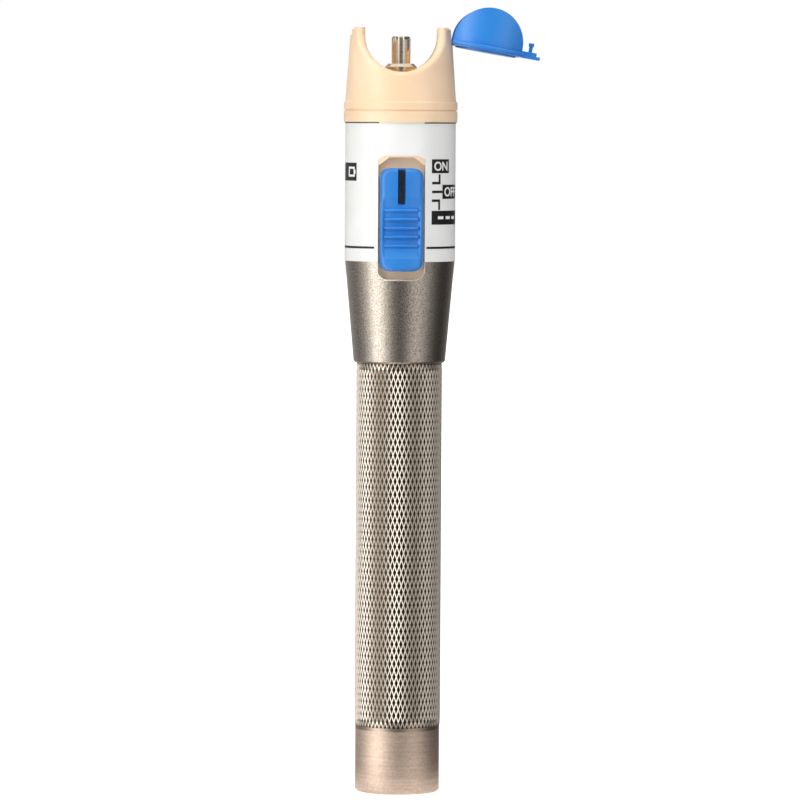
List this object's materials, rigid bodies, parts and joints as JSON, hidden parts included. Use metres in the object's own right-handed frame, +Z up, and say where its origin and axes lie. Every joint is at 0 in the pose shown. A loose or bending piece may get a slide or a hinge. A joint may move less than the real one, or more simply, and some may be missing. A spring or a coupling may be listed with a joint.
{
  "type": "visual fault locator",
  "caption": "Pen-shaped visual fault locator for optical fibre: hinged dust cap over a ferrule port, slide switch, knurled grip and screw-off tail cap over AA cells.",
  "frame": {"origin": "centre of the tail cap's flat base, on the pen's axis", "axes": "+Z up the pen's axis to the ferrule port; -Y the side of the slide switch; +X the side of the dust cap's hinge"},
  "size_m": [0.0447, 0.0267, 0.1796],
  "materials": {
    "head_plastic": "satin moulded",
    "blue_plastic": "gloss moulded",
    "grip_metal": "knurled and anodised",
    "tail_metal": "satin anodised",
    "barrel_metal": "bead blasted and anodised",
    "label_film": "printed film",
    "port_plating": "polished",
    "sleeve_ceramic": "polished ceramic",
    "module_brass": "turned",
    "diode_gold": "plated",
    "lens_glass": "clear",
    "retainer_metal": "clear anodised",
    "pin_steel": "ground",
    "seal_rubber": "matt",
    "cell_jacket": "plain jacket",
    "carrier_plastic": "moulded",
    "board_laminate": "coated laminate",
    "chip_epoxy": "moulded",
    "capacitor_can": "drawn can",
    "switch_case": "pressed cover"
  },
  "bodies": {
    "pen": {"head_shell": "head_plastic", "grip_barrel": "grip_metal", "front_barrel": "barrel_metal", "label_wrap": "label_film", "adapter_body": "port_plating", "alignment_sleeve": "sleeve_ceramic", "laser_housing": "module_brass", "front_contact": "module_brass", "laser_diode": "diode_gold", "focus_lens": "lens_glass", "lens_retainer": "retainer_metal", "hinge_pin": "pin_steel", "battery_rear": "cell_jacket", "battery_front": "cell_jacket", "contact_carrier": "carrier_plastic", "circuit_board": "board_laminate", "driver_chip": "chip_epoxy", "smoothing_capacitor": "capacitor_can", "switch_body": "switch_case"},
    "cap": {"dust_cap": "blue_plastic"},
    "slider": {"switch_slider": "blue_plastic", "switch_lever": "carrier_plastic"},
    "tail": {"tail_cap": "tail_metal", "tail_spring": "pin_steel", "tail_seal": "seal_rubber"}
  },
  "joints": [
    {"name": "dust_cap_hinge", "type": "hinge", "parent": "pen", "child": "cap", "pos_m": [0.0099, 0, 0.17338], "axis": [0, -1, 0], "range_deg": [0, 190]},
    {"name": "switch_slide", "type": "slide", "parent": "pen", "child": "slider", "axis": [0, 0, 1], "range_m": [-0.0018, 0.0018]},
    {"name": "tail_cap_pull", "type": "slide", "parent": "pen", "child": "tail", "axis": [0, 0, -1], "range_m": [0, 0.02]}
  ]
}
